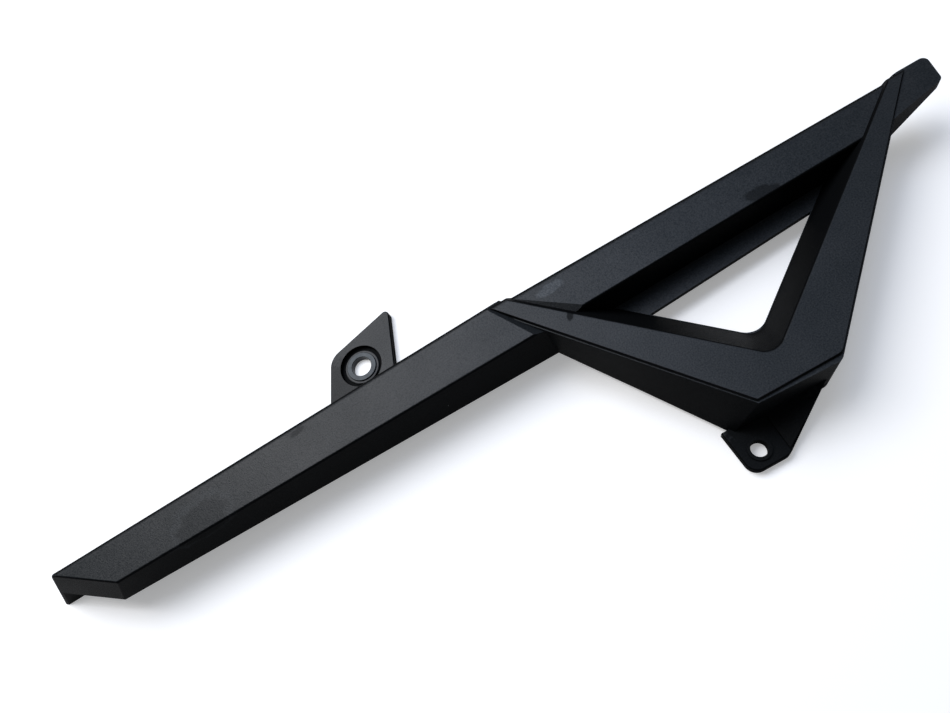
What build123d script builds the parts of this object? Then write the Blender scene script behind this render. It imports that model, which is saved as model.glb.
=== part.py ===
from build123d import *
import math
import os

os.makedirs("parts", exist_ok=True)

# A motorcycle chain guard, lying on its back. The origin is the axis of the front
# bolt on the mounting plane, +X runs along the beam to the rear and +Z points out
# of the visible face. Sizes are in millimetres and degrees.

# The moulding
depth = 30.0  # mounting plane to the outer face
wall = 2.5
back_radius = 3.0  # soft edge along the back
edge_radius = 1.0  # the other edges of the face

# Front beam
back_gap = 21.9  # front bolt to the back of the beam
back_slope = 1.92
face_width = 21.7  # beside the front bolt
low_slope = 1.02
face_tilt = 3.5  # the face falls towards its low edge
nose_reach = 152.6
nose_slant = 31.6
nose_flare = 0.36  # per millimetre of depth
low_draft = 0.05
rim_height = 7.0  # low lip over the mounting plane, beside the front bolt
rim_slope = 2.16

# Rear beam
rear_back_gap = 20.6
rear_width = 23.0
rear_low_slope = 1.28
rear_recess = 2.0  # face of the rear beam under the face of the arms
tail_reach = 264.6
tail_width = 13.0
tail_start = 240.5  # the low edge of the tail begins to rise here
tail_slant = 78.0
tail_recess = 0.8
tail_radius = 2.4

# The two raised arms
joint_x = 68.8  # the arms leave the back edge here
arm_inner_slope = 45.8
arm_outer_x = 79.0
arm_outer_y = -42.2
arm_outer_slope = 52.8
arm_twist = 5.8  # the front arm's side leans out towards the foot
arm_base_x = 80.0
foot_y = -108.4
foot_end_x = 163.6
foot_skew = 2.3
shoulder_drop = 1.5  # the shoulder round the raised face
shoulder_side = 0.5
shoulder_foot = 2.2  # at the rear end of the foot
rear_arm_slope = 42.9
window_slope = 35.8
window_tip_x = 144.6
foot_radius = 4.0

# Window
ledge_depth = 20.0
front_bevel = 0.73  # inward, per millimetre of depth
rear_bevel = 0.425
window_radius = 8.0
window_lip = 0.3
window_top_x = 121.1
window_top_y = -51.4
window_top_slope = 3.2
beam_overlap = 10.0  # how far the rear beam runs into the front one

# The faces of the beams fall away beside the arms, in two narrow valleys.
valley_tilt = 20.0
front_valley_x = 65.9
front_valley_gap = 8.2  # from the back of the beam
front_valley_slope = 59.7
rear_valley_x = 74.6
rear_valley_gap = 2.3
rear_valley_slope = 38.7

# Rising rim under the rear arm and the tail
rim_rise_x = 150.0
rim_knee_x = 205.0
rim_knee_z = 7.0
rim_tail_x = 241.0
rim_tail_z = 15.0
rim_end_z = 25.3

# Front ear and its rubber-mounted sleeve
ear_thickness = 4.2
ear_left_x = -25.7
ear_right_x = 9.3
ear_corner = (-11.8, 11.4)
ear_tip = (23.2, 20.5)
ear_corner_radius = 9.0
ear_tip_radius = 2.0
ear_edge_radius = 0.6
ear_sink = 1.8  # how far the root of the ear runs into the back wall
counterbore_radius = 10.2
counterbore_depth = 2.4
grommet_hole_radius = 6.6
grommet_flange_radius = 8.2
grommet_flange_thickness = 1.0
grommet_edge_radius = 0.4
collar_bore_radius = 4.7
collar_wall = 0.8
collar_flange_radius = 7.1
collar_flange_thickness = 0.8
collar_edge_radius = 0.25
seat_clearance = 0.1

# Rear ear, its bolt boss and its gusset
rear_hole_x = 125.8
rear_hole_y = -119.1
rear_hole_radius = 3.3
boss_radius = 4.7
boss_height = 0.8
rear_ear_left_x = 117.4
rear_ear_end = 7.3  # bolt axis to the end of the ear
rear_ear_right = 8.2
rear_ear_radius = 5.0
rear_ear_draw = 1.0  # the left edge of the ear leans in by this much
gusset_x = 135.3
gusset_end_x = 165.0
gusset_step = 1.0
gusset_inset = 2.0
gusset_slope = 17.0

# Ribs under the face
rib_thickness = 1.6
rib_height = 5.0
rib_pitch = 42.0
rib_count = 5
first_rib_x = -128.0

clear = 20.0  # how far a cutting shape runs past the moulding
level_band = 0.01  # edges this near the face level bound the face


# A side of an outline is a line: a point on it and its bearing, walked so that the
# inside of the outline is on the left.
def moved(side, inward):
    x, y, bearing = side
    turn = math.radians(bearing)
    return (x - inward * math.sin(turn), y + inward * math.cos(turn), bearing)


def reverse(side):
    x, y, bearing = side
    return (x, y, bearing + 180)


def meeting(side, other):
    x, y, bearing = side
    x2, y2, bearing2 = other
    turn = math.radians(bearing)
    turn2 = math.radians(bearing2)
    spread = math.sin(turn2 - turn)
    run = ((x2 - x) * math.sin(turn2) - (y2 - y) * math.cos(turn2)) / spread
    return (x + run * math.cos(turn), y + run * math.sin(turn))


def corners(sides):
    return [meeting(side, after) for side, after in zip(sides, sides[1:] + sides[:1])]


# A block with flat or ruled sides between two outlines.
def tapered(top_sides, top_z, base_sides, base_z):
    with BuildPart() as block:
        with BuildSketch(Plane.XY.offset(base_z)):
            Polygon(*corners(base_sides), align=None)
        with BuildSketch(Plane.XY.offset(top_z)):
            Polygon(*corners(top_sides), align=None)
        loft(ruled=True)
    return block.part


# A plane that leaves a surface along a side and falls away to the right of it.
def falling(side, z, normal, tilt):
    x, y, bearing = side
    turn = math.radians(bearing)
    along = Axis((0, 0, 0), (math.cos(turn), math.sin(turn), 0))
    return Plane(origin=(x, y, z), z_dir=normal.rotate(along, tilt))


def edge_near(piece, x, y, z):
    return piece.edges().sort_by_distance((x, y, z))[0]


# Sides of the face, as seen from outside
back_side = (0, -back_gap, 180 + back_slope)
low_side = (0, -back_gap - face_width, low_slope)
nose_tip_y = -back_gap - nose_reach * math.tan(math.radians(back_slope))
nose_side = (-nose_reach, nose_tip_y, -nose_slant)
joint_y = -back_gap + joint_x * math.tan(math.radians(back_slope))
arm_inner_side = (joint_x, joint_y, -arm_inner_slope)
arm_outer_side = (arm_outer_x, arm_outer_y, -arm_outer_slope)
arm_base_side = (arm_base_x, arm_outer_y, -arm_outer_slope - arm_twist)
foot_side = (foot_end_x, foot_y, 0)
foot_base_side = (foot_end_x, foot_y - shoulder_foot, -foot_skew)
rear_arm_side = (foot_end_x, foot_y, rear_arm_slope)
window_tip_y = meeting(arm_inner_side, (window_tip_x, 0, 90))[1]
window_side = (window_tip_x, window_tip_y, window_slope)
rear_back_side = (0, -rear_back_gap, 180)
rear_low_side = (0, -rear_back_gap - rear_width, rear_low_slope)
tail_low_y = meeting(rear_low_side, (tail_start, 0, 90))[1]
tail_end_y = -rear_back_gap - tail_width
tail_rise = math.degrees(math.atan2(tail_end_y - tail_low_y, tail_reach - tail_start))
tail_low_side = (tail_start, tail_low_y, tail_rise)
tail_side = (tail_reach, tail_end_y, tail_slant)
far_back_side = (0, clear, 180)

ledge_z = depth - ledge_depth
rear_z = depth - rear_recess
tail_z = depth - tail_recess
shoulder_z = depth - shoulder_drop
up = Vector(0, 0, 1)
face_normal = up.rotate(Axis.X, face_tilt).rotate(Axis.Z, back_slope)
face_plane = Plane(
    origin=(0, -back_gap, depth),
    x_dir=(math.cos(math.radians(back_slope)), math.sin(math.radians(back_slope)), 0),
    z_dir=face_normal,
)

front_valley_y = meeting(back_side, (front_valley_x, 0, 90))[1] - front_valley_gap
front_valley_side = (front_valley_x, front_valley_y, 180 - front_valley_slope)
front_valley_z = depth - front_valley_gap * math.tan(math.radians(face_tilt))
front_valley = falling(front_valley_side, front_valley_z, face_normal, valley_tilt)
rear_valley_side = (rear_valley_x, -rear_back_gap - rear_valley_gap, -rear_valley_slope)
rear_valley = falling(rear_valley_side, rear_z, up, valley_tilt)


# Front beam: a long block whose nose flares forward, under a gently tilted face.
def front_sides(z, skin):
    drop = depth - z
    return [
        moved(low_side, skin - low_draft * drop),
        moved(reverse(arm_inner_side), skin),
        moved(back_side, skin),
        moved(nose_side, skin - nose_flare * drop),
    ]


front_block = tapered(front_sides(depth, 0), depth, front_sides(0, 0), 0)

with BuildPart() as front_beam:
    add(front_block)
    split(bisect_by=face_plane, keep=Keep.BOTTOM)
    fillet(edge_near(front_beam, 0, -back_gap, depth), radius=back_radius)
    fillet(edge_near(front_beam, 0, -back_gap - face_width, shoulder_z), radius=edge_radius)
    nose_middle_x = -nose_reach + face_width / 2
    nose_middle_y = nose_tip_y - face_width / 3
    fillet(edge_near(front_beam, nose_middle_x, nose_middle_y, depth), radius=edge_radius)
    split(bisect_by=front_valley, keep=Keep.BOTTOM)

front_hollow_block = tapered(front_sides(depth, wall), depth, front_sides(-wall, wall), -wall)

with BuildPart() as front_hollow:
    add(front_hollow_block)
    split(bisect_by=face_plane.offset(-wall), keep=Keep.BOTTOM)
    rib_places = [(first_rib_x + n * rib_pitch, -back_gap - face_width / 2, depth) for n in range(rib_count)]
    with Locations(*rib_places):
        Box(rib_thickness, 2 * face_width, 2 * (wall + rib_height), mode=Mode.SUBTRACT)

# The low lip and the nose stop short of the mounting plane, which the back reaches.
lip_right_side = (arm_base_x + 2 * face_width, 0, 90)
lip_left_side = (-nose_reach - 2 * clear, 0, -90)
lip_low_side = (0, foot_y, 0)
with BuildPart() as lip_cut:
    with BuildSketch(Plane.XY.offset(-wall)):
        lip_back_sides = [moved(rear_back_side, 2 * wall), moved(back_side, wall)]
        Polygon(*corners([lip_low_side, lip_right_side] + lip_back_sides + [lip_left_side]), align=None)
    extrude(amount=depth)
    rim_plane = Plane(origin=(0, 0, rim_height), z_dir=up.rotate(Axis.Y, rim_slope))
    split(bisect_by=rim_plane, keep=Keep.BOTTOM)


# Window: a tapered pit between the two arms, whose floor is the ledge. With a skin
# it is the same pit grown by that much, measured square to its walls.
def window_sides(z, skin):
    drop = depth - z
    front_shift = front_bevel * drop - skin * math.hypot(1, front_bevel)
    rear_shift = rear_bevel * drop - skin * math.hypot(1, rear_bevel)
    return [moved(arm_inner_side, front_shift), moved(window_side, rear_shift), far_back_side]


pit_top_z = depth + wall
pit_block = tapered(window_sides(pit_top_z, 0), pit_top_z, window_sides(ledge_z, 0), ledge_z)

with BuildPart() as pit:
    add(pit_block)
    fillet(edge_near(pit, window_tip_x, window_tip_y, depth), radius=window_radius)

ledge_under_z = ledge_z - wall
pit_skin = tapered(window_sides(pit_top_z, wall), pit_top_z, window_sides(ledge_under_z, wall), ledge_under_z)

# Raised arms: a chevron with a shoulder round its face.
arm_sides = [arm_outer_side, foot_side, rear_arm_side, rear_back_side]
shoulder_sides = [
    moved(arm_outer_side, -shoulder_side),
    foot_base_side,
    moved(rear_arm_side, -shoulder_side),
    rear_back_side,
]
base_sides = [arm_base_side, foot_base_side, moved(rear_arm_side, -shoulder_side), rear_back_side]
arm_body = tapered(shoulder_sides, shoulder_z, base_sides, 0)
arm_cap = tapered(arm_sides, depth, arm_sides, shoulder_z - wall)

with BuildPart() as arms:
    add(arm_body)
    fillet(edge_near(arms, *meeting(foot_base_side, rear_arm_side), shoulder_z / 2), radius=foot_radius)

with BuildPart() as cap:
    add(arm_cap)
    cap_middle_z = (depth + shoulder_z - wall) / 2
    fillet(edge_near(cap, *meeting(foot_side, rear_arm_side), cap_middle_z), radius=foot_radius)
    fillet(edge_near(cap, *meeting(arm_outer_side, foot_side), cap_middle_z), radius=edge_radius)
    fillet(edge_near(cap, arm_outer_x, arm_outer_y, depth), radius=edge_radius / 2)

# The soft edge along the back of the arms, as a cut
with BuildPart() as back_round:
    with BuildSketch(Plane.YZ):
        with Locations((-rear_back_gap, depth)):
            Rectangle(2 * back_radius, 2 * back_radius)
        with Locations((-rear_back_gap - back_radius, depth - back_radius)):
            Circle(back_radius, mode=Mode.SUBTRACT)
    extrude(amount=tail_reach)

with BuildPart() as chevron:
    add(arms.part)
    add(cap.part)
    add(pit.part, mode=Mode.SUBTRACT)
    rim = chevron.edges(Select.LAST).filter_by_position(Axis.Z, depth - level_band, depth + level_band)
    fillet(rim.sort_by(Axis.Y)[:3], radius=edge_radius)
    add(back_round.part, mode=Mode.SUBTRACT)

arm_hollow_top = [moved(side, wall) for side in arm_sides]
arm_hollow_base = [moved(side, wall) for side in base_sides]
arm_hollow_block = tapered(arm_hollow_top, depth - wall, arm_hollow_base, -wall)

with BuildPart() as arm_hollow:
    add(arm_hollow_block)
    add(pit_skin, mode=Mode.SUBTRACT)

# Rear beam and tail
rear_left_side = (joint_x - beam_overlap, 0, -90)
tail_left_side = reverse(moved(rear_arm_side, 2 * wall))
beam_end_side = moved(rear_arm_side, wall)


def rear_sides(skin):
    return [
        moved(rear_low_side, skin),
        moved(tail_low_side, skin),
        moved(tail_side, skin),
        moved(rear_back_side, skin),
        moved(rear_left_side, skin),
    ]


rear_low_y = meeting(rear_low_side, (foot_end_x, 0, 90))[1]
with BuildPart() as rear_beam:
    with BuildSketch():
        beam_sides = [rear_low_side, beam_end_side, rear_back_side, rear_left_side]
        Polygon(*corners(beam_sides), align=None)
    extrude(amount=rear_z)
    fillet(edge_near(rear_beam, foot_end_x, -rear_back_gap, rear_z), radius=back_radius)
    fillet(edge_near(rear_beam, foot_end_x, rear_low_y, rear_z), radius=edge_radius)
    split(bisect_by=rear_valley, keep=Keep.BOTTOM)

with BuildPart() as tail:
    with BuildSketch():
        tail_sides = [tail_low_side, tail_side, rear_back_side, tail_left_side]
        Polygon(*corners(tail_sides), align=None)
        fillet(vertices().sort_by(Axis.X)[-2:], radius=tail_radius)
    extrude(amount=tail_z)
    fillet(edge_near(tail, tail_start, -rear_back_gap, tail_z), radius=back_radius)

rear_hollow_z = rear_z - wall
with BuildPart() as rear_hollow:
    with BuildSketch(Plane.XY.offset(-wall)):
        Polygon(*corners(rear_sides(wall)), align=None)
    extrude(amount=rear_hollow_z + wall)

# The hole of the window, inside the lip that the bevels leave
window_hole_sides = [moved(side, window_lip) for side in window_sides(ledge_z, 0)[:2]]
window_top_side = (window_top_x, window_top_y, 180 + window_top_slope)
with BuildPart() as window_hole:
    with BuildSketch(Plane.XY.offset(ledge_under_z - wall)):
        Polygon(*corners(window_hole_sides + [window_top_side]), align=None)
        fillet(vertices().sort_by(Axis.Y)[0], radius=window_radius)
    extrude(amount=3 * wall)

# The rim rises under the rear arm and runs out along the tail.
with BuildPart() as rim_cut:
    with BuildSketch(Plane.XZ):
        Polygon(
            (rim_rise_x, 0),
            (rim_knee_x, rim_knee_z),
            (rim_tail_x, rim_tail_z),
            (tail_reach, rim_end_z),
            (tail_reach + clear, rim_end_z + wall),
            (tail_reach + clear, -clear),
            (rim_rise_x, -clear),
            align=None,
        )
    extrude(amount=-2 * foot_y, both=True)

# Front ear, on the back of the beam
with BuildPart() as front_ear:
    with BuildSketch():
        ear_root_y = -back_gap - ear_sink
        Polygon((ear_left_x, ear_root_y), (ear_right_x, ear_root_y), ear_tip, ear_corner, align=None)
        fillet(vertices().sort_by(Axis.Y)[-1], radius=ear_tip_radius)
        fillet(vertices().sort_by(Axis.X)[1], radius=ear_corner_radius)
    extrude(amount=ear_thickness)
    ear_edges = front_ear.faces().sort_by(Axis.Z)[-1].edges().sort_by(Axis.Y)[1:]
    fillet(ear_edges, radius=ear_edge_radius)

# Rear ear with its boss, and a gusset that climbs to the end of the foot
rear_ear_root_y = foot_y + wall / 2
rear_ear_end_y = rear_hole_y - rear_ear_end
with BuildPart() as rear_ear:
    with BuildSketch():
        Polygon(
            (rear_ear_left_x, rear_ear_root_y),
            (rear_ear_left_x + rear_ear_draw, rear_ear_end_y),
            (rear_hole_x + rear_ear_right, rear_ear_end_y),
            (gusset_end_x, rear_ear_root_y),
            align=None,
        )
        fillet(vertices().group_by(Axis.Y)[0], radius=rear_ear_radius)
    extrude(amount=ear_thickness)
    rear_ear_edges = rear_ear.faces().sort_by(Axis.Z)[-1].edges().sort_by(Axis.Y)[:-1]
    fillet(rear_ear_edges, radius=ear_edge_radius)
    with BuildSketch(Plane.XY.offset(ear_thickness)):
        with Locations((rear_hole_x, rear_hole_y)):
            Circle(boss_radius)
    extrude(amount=boss_height)

with BuildPart() as gusset:
    with BuildSketch():
        Polygon(
            (gusset_x, rear_ear_root_y),
            (gusset_x, rear_ear_end_y + gusset_inset),
            (gusset_end_x, rear_ear_root_y),
            align=None,
        )
    extrude(amount=depth)
    gusset_plane = Plane(
        origin=(gusset_x, 0, ear_thickness + gusset_step),
        z_dir=up.rotate(Axis.Y, -gusset_slope),
    )
    split(bisect_by=gusset_plane, keep=Keep.BOTTOM)

# The whole moulding
with BuildPart() as chain_guard:
    add(front_beam.part)
    add(chevron.part)
    add(rear_beam.part)
    add(tail.part)
    add(front_hollow.part, mode=Mode.SUBTRACT)
    add(arm_hollow.part, mode=Mode.SUBTRACT)
    add(rear_hollow.part, mode=Mode.SUBTRACT)
    add(window_hole.part, mode=Mode.SUBTRACT)
    add(lip_cut.part, mode=Mode.SUBTRACT)
    add(rim_cut.part, mode=Mode.SUBTRACT)
    add(front_ear.part)
    add(rear_ear.part)
    add(gusset.part)
    with Locations((0, 0, ear_thickness)):
        CounterBoreHole(grommet_hole_radius, counterbore_radius, counterbore_depth)
    with Locations((rear_hole_x, rear_hole_y, ear_thickness + boss_height)):
        Hole(rear_hole_radius)

chain_guard.part.label = "chain_guard"
export_step(chain_guard.part, "parts/chain_guard.step")

# Rubber grommet: a ring on the seat of the counterbore with a neck in the hole
seat_z = ear_thickness - counterbore_depth
flange_z = seat_z + grommet_flange_thickness
neck_radius = grommet_hole_radius - seat_clearance
collar_radius = collar_bore_radius + collar_wall
grommet_bore = collar_radius + seat_clearance
with BuildPart() as front_grommet:
    with BuildSketch(Plane.XZ):
        Polygon(
            (grommet_bore, 0),
            (neck_radius, 0),
            (neck_radius, seat_z),
            (grommet_flange_radius, seat_z),
            (grommet_flange_radius, flange_z),
            (grommet_bore, flange_z),
            align=None,
        )
    revolve(axis=Axis.Z)
    fillet(front_grommet.edges().group_by(Axis.Z)[-1].sort_by(SortBy.RADIUS)[-1], radius=grommet_edge_radius)

front_grommet.part.label = "front_grommet"
export_step(front_grommet.part, "parts/front_grommet.step")

# Flanged sleeve, which stands on the mounting plane and takes the front bolt
collar_top = flange_z + collar_flange_thickness
with BuildPart() as front_collar:
    with BuildSketch(Plane.XZ):
        Polygon(
            (collar_bore_radius, 0),
            (collar_radius, 0),
            (collar_radius, flange_z),
            (collar_flange_radius, flange_z),
            (collar_flange_radius, collar_top),
            (collar_bore_radius, collar_top),
            align=None,
        )
    revolve(axis=Axis.Z)
    fillet(front_collar.edges().group_by(Axis.Z)[-1], radius=collar_edge_radius)

front_collar.part.label = "front_collar"
export_step(front_collar.part, "parts/front_collar.step")
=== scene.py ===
import math

import bmesh
import bpy
from mathutils import Matrix, Vector


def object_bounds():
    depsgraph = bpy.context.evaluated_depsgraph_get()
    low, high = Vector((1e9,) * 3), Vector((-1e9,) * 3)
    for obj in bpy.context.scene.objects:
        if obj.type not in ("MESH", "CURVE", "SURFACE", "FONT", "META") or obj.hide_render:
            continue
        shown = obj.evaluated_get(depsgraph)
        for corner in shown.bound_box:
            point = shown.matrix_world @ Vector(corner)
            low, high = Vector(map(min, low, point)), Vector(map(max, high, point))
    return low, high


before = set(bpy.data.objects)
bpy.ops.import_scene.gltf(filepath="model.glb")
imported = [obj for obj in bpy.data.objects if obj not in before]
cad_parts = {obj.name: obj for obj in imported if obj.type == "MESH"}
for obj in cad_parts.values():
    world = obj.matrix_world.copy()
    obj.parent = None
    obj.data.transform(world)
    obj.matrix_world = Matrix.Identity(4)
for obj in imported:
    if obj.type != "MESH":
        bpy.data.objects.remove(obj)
cadLow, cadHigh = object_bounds()
print("frame loaded:", ", ".join(sorted(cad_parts)))

mm = 0.001


def linearColour(code):
    parts = [int(code[i:i + 2], 16) / 255 for i in (1, 3, 5)]
    linear = [p / 12.92 if p <= 0.04045 else ((p + 0.055) / 1.055) ** 2.4 for p in parts]
    return (*linear, 1.0)


# Inputs go by name or by number. A Mix node for colours takes its share at 0 and the two
# colours at 6 and 7, and gives the mixed colour at output 2.
def addNode(tree, kind, inputs=None, **attributes):
    node = tree.nodes.new(kind)
    for name, value in attributes.items():
        setattr(node, name, value)
    for name, value in (inputs or {}).items():
        if isinstance(value, bpy.types.NodeSocket):
            tree.links.new(value, node.inputs[name])
        else:
            node.inputs[name].default_value = value
    return node


def newMaterial(name):
    material = bpy.data.materials.new(name)
    material.use_nodes = True
    material.node_tree.nodes.clear()
    return material, material.node_tree


def perMetre(sizeMm):
    return 1.0 / (sizeMm * mm)  # a noise texture's scale for features of this size


# Guard: injection-moulded ABS with a fine spark-eroded grain from the mould. The eye sees
# a near-black satin skin whose grain glitters where the light grazes it.
plastic = {
    "colour": "#0b0c0d",
    "ior": 1.5,
    "specular": 0.007,  # of the walls, kept low as painted shade so that they stay near black
    "roughness": 0.46,
    "roughnessSpread": 0.18,
    "paintedLitTopColour": "#12171b",  # painted light: faces turned up are drawn lighter and shinier than the walls
    "paintedLitTopSpecular": 0.27,
    "paintedLitTopFrom": 0.9,  # upward part of the normal where the painted light starts; below it, fillets and walls get painted shade
    "paintedLitTopFull": 0.996,
    "grainMm": 0.6,  # the real grain is about 0.15 mm, drawn coarser so that it shows
    "grainDetail": 3.0,
    "grainBreak": 0.6,
    "grainLow": 0.3,  # the noise hardly leaves the band between these two
    "grainHigh": 0.7,
    "grainDepthMm": 0.1,
    "glitterLow": 0.5,  # how far the grain dims and lifts the sheen
    "glitterHigh": 1.5,
    "rubbedColour": "#26282b",
    "cloudMm": 26.0,  # slow variation where hands have rubbed it
    "cloudDetail": 4.0,
    "cloudBreak": 0.55,
    "rubbedFrom": 0.35,
    "rubbedFull": 0.75,
    "rubbedMost": 0.5,
    "rubbedSmoother": 0.06,
    "blotchMm": 5.0,  # ragged edges of the marks
    "blotchDetail": 5.0,
    "blotchBreak": 0.7,
    "blotchShare": 0.9,
    "markFrom": 0.68,
    "markFull": 0.86,
    "greasyAndShadedSheen": 0.06,  # share of the sheen left under the strongest grease, and under the strongest painted shade
    "scuffColour": "#565c62",
    "dustColour": "#8a8c8e",
    "speckMm": 3.2,
    "speckShare": 0.012,
    "speckEdge": 0.06,
    "speckCore": 0.03,
}

# Marks of use and painted shade: a scuff has a strength over nought; grease, dirt and painted
# shade have a strength under it.
# Places and half sizes are in millimetres, turns in degrees.
marksAndPaintedShade = [
    # worn halo on the front beam and the print inside it
    {"at": (-81, -40, 29), "half": (23, 14, 10), "turn": 15, "strength": 0.07},
    {"at": (-81, -41, 29), "half": (18, 11, 8), "turn": 15, "strength": -0.24},
    # scuff where the rear beam starts
    {"at": (89, -27.3, 28), "half": (10, 3.6, 5), "turn": 4, "strength": 0.3},
    # smear on the rear beam's lower edge
    {"at": (181, -37, 28), "half": (10, 4.5, 5), "turn": -10, "strength": -0.6},
    # spot on the front arm
    {"at": (90, -43, 30), "half": (3.6, 2.0, 3), "turn": 60, "strength": -0.8},
    # painted shade on the rear ear, which lies in the arms' shade, and a darker, duller patch on
    # the front ear
    {"at": (138, -120, 4), "half": (48, 24, 20), "turn": 0, "strength": -0.88},
    {"at": (-15, -7, 4), "half": (26, 20, 8), "turn": 60, "strength": -0.34},
    # painted shade in the recess around the grommet
    {"at": (0, 0, 1.8), "half": (24, 24, 2.2), "turn": 0, "strength": -1.0},
    # dull patch on the back edge of the front beam
    {"at": (-30, -27, 28), "half": (7, 2.4, 4), "turn": 10, "strength": -0.4},
]


def makeTexturedPlastic():
    material, tree = newMaterial("texturedInjectionMouldedPlastic")
    coordinates = addNode(tree, "ShaderNodeTexCoord")
    where = coordinates.outputs["Object"]
    grain = addNode(tree, "ShaderNodeTexNoise", {
        "Vector": where, "Scale": perMetre(plastic["grainMm"]),
        "Detail": plastic["grainDetail"], "Roughness": plastic["grainBreak"]})
    cloud = addNode(tree, "ShaderNodeTexNoise", {
        "Vector": where, "Scale": perMetre(plastic["cloudMm"]),
        "Detail": plastic["cloudDetail"], "Roughness": plastic["cloudBreak"]})
    rubbed = addNode(tree, "ShaderNodeMapRange", {
        "Value": cloud.outputs["Fac"], "From Min": plastic["rubbedFrom"],
        "From Max": plastic["rubbedFull"], "To Max": plastic["rubbedMost"]})
    blotch = addNode(tree, "ShaderNodeTexNoise", {
        "Vector": where, "Scale": perMetre(plastic["blotchMm"]),
        "Detail": plastic["blotchDetail"], "Roughness": plastic["blotchBreak"]})

    # All the marks and the painted shade are added up: each is a ball with a ragged edge.
    markedAndShaded = 0.0
    for mark in marksAndPaintedShade:
        place = addNode(tree, "ShaderNodeMapping", {
            "Vector": where,
            "Location": [c * mm for c in mark["at"]],
            "Rotation": (0, 0, math.radians(mark["turn"])),
            "Scale": [h * mm for h in mark["half"]]}, vector_type="TEXTURE")
        ball = addNode(tree, "ShaderNodeTexGradient", {
            "Vector": place.outputs["Vector"]}, gradient_type="SPHERICAL")
        ragged = addNode(tree, "ShaderNodeMath", {
            0: blotch.outputs["Fac"], 1: plastic["blotchShare"], 2: ball.outputs["Fac"]},
            operation="MULTIPLY_ADD")
        patch = addNode(tree, "ShaderNodeMapRange", {
            "Value": ragged.outputs[0],
            "From Min": plastic["markFrom"], "From Max": plastic["markFull"]})
        markedAndShaded = addNode(tree, "ShaderNodeMath", {
            0: patch.outputs["Result"], 1: mark["strength"], 2: markedAndShaded},
            operation="MULTIPLY_ADD").outputs[0]

    # Sheen: a painted sheen, strong on faces turned up and low on the walls as painted shade,
    # broken by the grain, dulled by grease and by painted shade.
    turned = addNode(tree, "ShaderNodeSeparateXYZ", {0: coordinates.outputs["Normal"]})
    paintedLitTop = addNode(tree, "ShaderNodeMapRange", {
        "Value": turned.outputs["Z"],
        "From Min": plastic["paintedLitTopFrom"], "From Max": plastic["paintedLitTopFull"]})
    paintedTopSheen = addNode(tree, "ShaderNodeMapRange", {
        "Value": paintedLitTop.outputs["Result"],
        "To Min": plastic["specular"], "To Max": plastic["paintedLitTopSpecular"]})
    glitter = addNode(tree, "ShaderNodeMapRange", {
        "Value": grain.outputs["Fac"],
        "From Min": plastic["grainLow"], "From Max": plastic["grainHigh"],
        "To Min": plastic["glitterLow"], "To Max": plastic["glitterHigh"]})
    freeOfGreaseAndShade = addNode(tree, "ShaderNodeMapRange", {
        "Value": markedAndShaded, "From Min": -1.0, "From Max": 0.0, "To Min": plastic["greasyAndShadedSheen"]})
    brokenSheen = addNode(tree, "ShaderNodeMath", {
        0: paintedTopSheen.outputs["Result"], 1: glitter.outputs["Result"]}, operation="MULTIPLY")
    markedAndShadedSheen = addNode(tree, "ShaderNodeMath", {
        0: brokenSheen.outputs[0], 1: freeOfGreaseAndShade.outputs["Result"]}, operation="MULTIPLY")

    # Colour: painted light and shade, with darker walls and a lighter upper face, then rubbed,
    # greasy, painted-shade, scuffed and dusty places.
    colourWithPaintedLight = addNode(tree, "ShaderNodeMix", {
        0: paintedLitTop.outputs["Result"], 6: linearColour(plastic["colour"]),
        7: linearColour(plastic["paintedLitTopColour"])}, data_type="RGBA")
    rubbedPaintedLitTop = addNode(tree, "ShaderNodeMath", {
        0: rubbed.outputs["Result"], 1: paintedLitTop.outputs["Result"]},
        operation="MULTIPLY", use_clamp=True)
    worn = addNode(tree, "ShaderNodeMix", {
        0: rubbedPaintedLitTop.outputs[0], 6: colourWithPaintedLight.outputs[2],
        7: linearColour(plastic["rubbedColour"])}, data_type="RGBA")
    greasedAndShaded = addNode(tree, "ShaderNodeMix", {
        0: freeOfGreaseAndShade.outputs["Result"], 6: linearColour(plastic["colour"]),
        7: worn.outputs[2]}, data_type="RGBA")
    scuffShare = addNode(tree, "ShaderNodeMath", {
        0: markedAndShaded, 1: glitter.outputs["Result"]}, operation="MULTIPLY", use_clamp=True)
    scuffed = addNode(tree, "ShaderNodeMix", {
        0: scuffShare.outputs[0], 6: greasedAndShaded.outputs[2],
        7: linearColour(plastic["scuffColour"])}, data_type="RGBA")
    specks = addNode(tree, "ShaderNodeTexVoronoi", {
        "Vector": where, "Scale": perMetre(plastic["speckMm"])})
    speckShape = addNode(tree, "ShaderNodeMapRange", {
        "Value": specks.outputs["Distance"],
        "From Min": plastic["speckEdge"], "From Max": plastic["speckCore"]})
    speckChance = addNode(tree, "ShaderNodeSeparateColor", {"Color": specks.outputs["Color"]})
    chosen = addNode(tree, "ShaderNodeMath", {
        0: speckChance.outputs["Red"], 1: 1 - plastic["speckShare"]}, operation="GREATER_THAN")
    dustShare = addNode(tree, "ShaderNodeMath", {
        0: speckShape.outputs["Result"], 1: chosen.outputs[0]}, operation="MULTIPLY")
    dusty = addNode(tree, "ShaderNodeMix", {
        0: dustShare.outputs[0], 6: scuffed.outputs[2],
        7: linearColour(plastic["dustColour"])}, data_type="RGBA")

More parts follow.
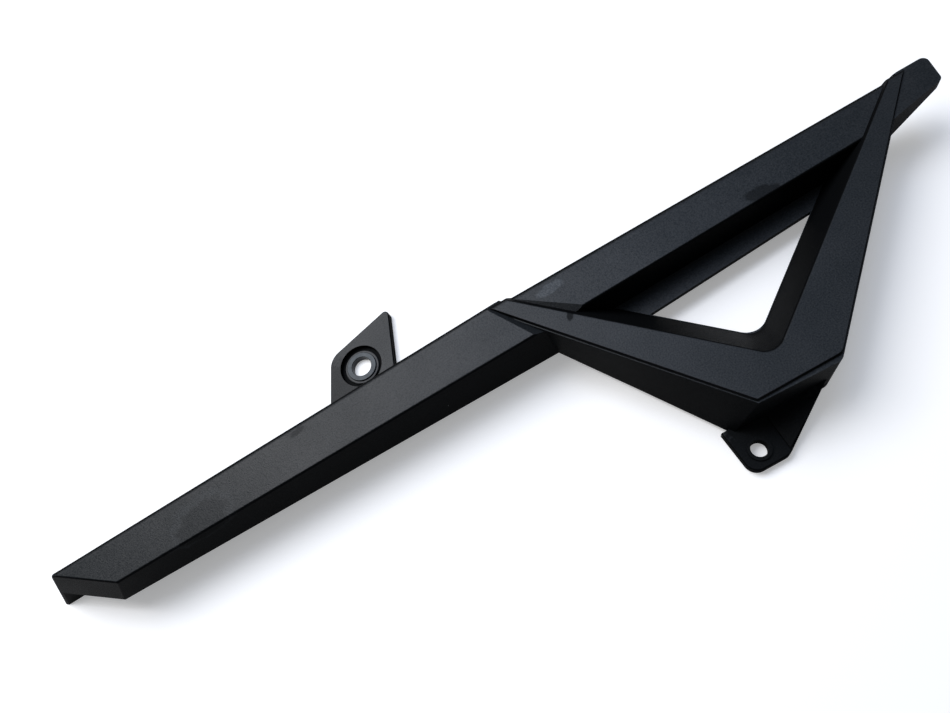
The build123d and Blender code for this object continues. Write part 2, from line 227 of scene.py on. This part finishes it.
    rough = addNode(tree, "ShaderNodeMapRange", {
        "Value": grain.outputs["Fac"],
        "From Min": plastic["grainLow"], "From Max": plastic["grainHigh"],
        "To Min": plastic["roughness"] - plastic["roughnessSpread"] / 2,
        "To Max": plastic["roughness"] + plastic["roughnessSpread"] / 2})
    rubbedRough = addNode(tree, "ShaderNodeMath", {
        0: rubbed.outputs["Result"], 1: -plastic["rubbedSmoother"], 2: rough.outputs["Result"]},
        operation="MULTIPLY_ADD")
    bump = addNode(tree, "ShaderNodeBump", {
        "Height": grain.outputs["Fac"], "Strength": 1.0,
        "Distance": plastic["grainDepthMm"] * mm})
    shader = addNode(tree, "ShaderNodeBsdfPrincipled", {
        "Base Color": dusty.outputs[2], "Roughness": rubbedRough.outputs[0],
        "IOR": plastic["ior"], "Specular IOR Level": markedAndShadedSheen.outputs[0],
        "Normal": bump.outputs["Normal"]})
    addNode(tree, "ShaderNodeOutputMaterial", {"Surface": shader.outputs["BSDF"]})
    return material


# Grommet: moulded EPDM rubber, a dull black with a faint bloom.
rubber = {
    "colour": "#2a2b2d",
    "ior": 1.48,
    "roughness": 0.62,
    "bloomColour": "#3d3e40",
    "bloomMm": 1.8,
    "bloomDetail": 5.0,
    "bumpStrength": 0.5,
    "bumpMm": 0.02,
}


def makeGrommetRubber():
    material, tree = newMaterial("mouldedEpdmRubber")
    where = addNode(tree, "ShaderNodeTexCoord").outputs["Object"]
    bloom = addNode(tree, "ShaderNodeTexNoise", {
        "Vector": where, "Scale": perMetre(rubber["bloomMm"]), "Detail": rubber["bloomDetail"]})
    colour = addNode(tree, "ShaderNodeMix", {
        0: bloom.outputs["Fac"], 6: linearColour(rubber["colour"]),
        7: linearColour(rubber["bloomColour"])}, data_type="RGBA")
    bump = addNode(tree, "ShaderNodeBump", {
        "Height": bloom.outputs["Fac"], "Strength": rubber["bumpStrength"],
        "Distance": rubber["bumpMm"] * mm})
    shader = addNode(tree, "ShaderNodeBsdfPrincipled", {
        "Base Color": colour.outputs[2], "Roughness": rubber["roughness"],
        "IOR": rubber["ior"], "Normal": bump.outputs["Normal"]})
    addNode(tree, "ShaderNodeOutputMaterial", {"Surface": shader.outputs["BSDF"]})
    return material


# Sleeve: turned steel, zinc plated and passivated. It shows a cool grey with fine rings.
steel = {
    "colour": "#36393c",
    "roughness": 0.4,
    "stainColour": "#232527",
    "stainMm": 2.5,
    "stainDetail": 4.0,
    "ringMm": 0.4935,  # pitch of the tool marks, drawn coarser so that they show
    "ringWander": 0.4,
    "ringStrength": 0.4,
    "ringDepthMm": 0.01,
}
wavePeriod = 2 * math.pi / 20  # distance between a Wave texture's rings at a scale of 1


def makeZincPlatedSteel():
    material, tree = newMaterial("zincPlatedTurnedSteel")
    where = addNode(tree, "ShaderNodeTexCoord").outputs["Object"]
    rings = addNode(tree, "ShaderNodeTexWave", {
        "Vector": where, "Scale": perMetre(steel["ringMm"]) * wavePeriod,
        "Distortion": steel["ringWander"]}, wave_type="RINGS", rings_direction="Z")
    stain = addNode(tree, "ShaderNodeTexNoise", {
        "Vector": where, "Scale": perMetre(steel["stainMm"]), "Detail": steel["stainDetail"]})
    colour = addNode(tree, "ShaderNodeMix", {
        0: stain.outputs["Fac"], 6: linearColour(steel["colour"]),
        7: linearColour(steel["stainColour"])}, data_type="RGBA")
    bump = addNode(tree, "ShaderNodeBump", {
        "Height": rings.outputs["Fac"], "Strength": steel["ringStrength"],
        "Distance": steel["ringDepthMm"] * mm})
    shader = addNode(tree, "ShaderNodeBsdfPrincipled", {
        "Base Color": colour.outputs[2], "Metallic": 1.0,
        "Roughness": steel["roughness"], "Normal": bump.outputs["Normal"]})
    addNode(tree, "ShaderNodeOutputMaterial", {"Surface": shader.outputs["BSDF"]})
    return material


finishes = {
    "chain_guard": makeTexturedPlastic(),
    "front_grommet": makeGrommetRubber(),
    "front_collar": makeZincPlatedSteel(),
}
for name, material in finishes.items():
    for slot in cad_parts[name].material_slots:
        slot.material = material
print("materials assigned")

# Floor: a plain white sheet. The camera sees it a little brighter than it lights the
# guard, so the ground stays white and keeps the soft shadow. Far from the guard, where the
# window's light gives out, the camera sees it brighter still, so it ends in white.
floorSettings = {
    "halfSize": 6.0,
    "gapMm": 0.05,  # under the guard
    "colour": "#f0f0f0",
    "seenExtra": 0.3,
    "farExtra": 0.62,
    "farFrom": 0.35,  # metres from the middle of the sheet
    "farFull": 1.25,
}


def makeFloor():
    sheet = bmesh.new()
    bmesh.ops.create_grid(
        sheet, x_segments=1, y_segments=1, size=floorSettings["halfSize"],
        matrix=Matrix.Translation((0, 0, cadLow.z - floorSettings["gapMm"] * mm)))
    mesh = bpy.data.meshes.new("floor")
    sheet.to_mesh(mesh)
    sheet.free()
    floor = bpy.data.objects.new("floor", mesh)
    bpy.context.scene.collection.objects.link(floor)
    material, tree = newMaterial("whitePaperSheet")
    path = addNode(tree, "ShaderNodeLightPath")
    seen = addNode(tree, "ShaderNodeMath", {
        0: path.outputs["Is Camera Ray"], 1: path.outputs["Is Glossy Ray"]}, operation="MAXIMUM")
    seenAll = addNode(tree, "ShaderNodeMath", {
        0: seen.outputs[0], 1: path.outputs["Is Transmission Ray"]}, operation="MAXIMUM")
    where = addNode(tree, "ShaderNodeTexCoord").outputs["Object"]
    distance = addNode(tree, "ShaderNodeVectorMath", {0: where}, operation="LENGTH")
    far = addNode(tree, "ShaderNodeMapRange", {
        "Value": distance.outputs["Value"], "From Min": floorSettings["farFrom"],
        "From Max": floorSettings["farFull"], "To Max": floorSettings["farExtra"]},
        interpolation_type="SMOOTHSTEP")
    farSeen = addNode(tree, "ShaderNodeMath", {
        0: far.outputs["Result"], 1: path.outputs["Is Camera Ray"]}, operation="MULTIPLY")
    strength = addNode(tree, "ShaderNodeMath", {
        0: seenAll.outputs[0], 1: floorSettings["seenExtra"], 2: farSeen.outputs[0]},
        operation="MULTIPLY_ADD")
    diffuse = addNode(tree, "ShaderNodeBsdfDiffuse", {
        "Color": linearColour(floorSettings["colour"])})
    glow = addNode(tree, "ShaderNodeEmission", {"Strength": strength.outputs[0]})
    both = addNode(tree, "ShaderNodeAddShader", {0: diffuse.outputs[0], 1: glow.outputs[0]})
    addNode(tree, "ShaderNodeOutputMaterial", {"Surface": both.outputs[0]})
    mesh.materials.append(material)


makeFloor()
print("floor laid")

# Lights: a broad soft window from the left of the view and a weaker, bluer one from its
# top, whose sheen falls on the raised arms. Places and sizes are in metres.
lamps = {
    "windowLight": {
        "at": (-0.2, 0.38, 0.78), "aim": (0.03, -0.05, 0.01), "size": 0.6,
        "watts": 8.0, "colour": "#fdfcfc"},
    "fillLight": {
        "at": (0.2, 0.28, 0.85), "aim": (0.05, -0.05, 0.01), "size": 0.5,
        "watts": 2.1, "colour": "#c4daff"},
}
worldLight = {"strength": 0.2, "colour": "#eef3fa"}


def makeLights():
    for name, lamp in lamps.items():
        light = bpy.data.lights.new(name, "AREA")
        light.size = lamp["size"]
        light.energy = lamp["watts"]
        light.color = linearColour(lamp["colour"])[:3]
        holder = bpy.data.objects.new(name, light)
        holder.location = lamp["at"]
        towards = Vector(lamp["aim"]) - Vector(lamp["at"])
        holder.rotation_euler = towards.to_track_quat("-Z", "Y").to_euler()
        bpy.context.scene.collection.objects.link(holder)
    world = bpy.data.worlds.new("studio")
    bpy.context.scene.world = world
    world.use_nodes = True
    tree = world.node_tree
    tree.nodes.clear()
    path = addNode(tree, "ShaderNodeLightPath")
    soft = addNode(tree, "ShaderNodeBackground", {
        "Color": linearColour(worldLight["colour"]), "Strength": worldLight["strength"]})
    white = addNode(tree, "ShaderNodeBackground", {"Strength": 1.0, "Color": (1, 1, 1, 1)})
    mix = addNode(tree, "ShaderNodeMixShader", {
        0: path.outputs["Is Camera Ray"], 1: soft.outputs[0], 2: white.outputs[0]})
    addNode(tree, "ShaderNodeOutputWorld", {"Surface": mix.outputs[0]})


makeLights()
bpy.context.scene.view_settings.view_transform = "Standard"
print("lights placed")

# Camera: a phone held about 28 cm over the guard, tipped back and turned.
cameraSettings = {
    "at": (57.99, -163.65, 281.64),  # millimetres, as is the point it looks at
    "aim": (49.09, -38.0, 30.0),
    "roll": -33.426,  # degrees, turn of the camera about its view
    "focalPixels": 700.0,
    "widthPixels": 950.0,
    "sensorMm": 36.0,
    "nearest": 0.01,
    "farthest": 20.0,
}


def makeCamera():
    data = bpy.data.cameras.new("camera")
    data.sensor_width = cameraSettings["sensorMm"]
    data.lens = (
        cameraSettings["sensorMm"] * cameraSettings["focalPixels"] / cameraSettings["widthPixels"])
    data.clip_start = cameraSettings["nearest"]
    data.clip_end = cameraSettings["farthest"]
    camera = bpy.data.objects.new("camera", data)
    at = Vector(cameraSettings["at"]) * mm
    look = (Vector(cameraSettings["aim"]) * mm - at).to_track_quat("-Z", "Y")
    turn = Matrix.Rotation(math.radians(cameraSettings["roll"]), 4, "Z")
    camera.matrix_world = Matrix.Translation(at) @ look.to_matrix().to_4x4() @ turn
    bpy.context.scene.collection.objects.link(camera)
    bpy.context.scene.camera = camera


makeCamera()
print("camera set")
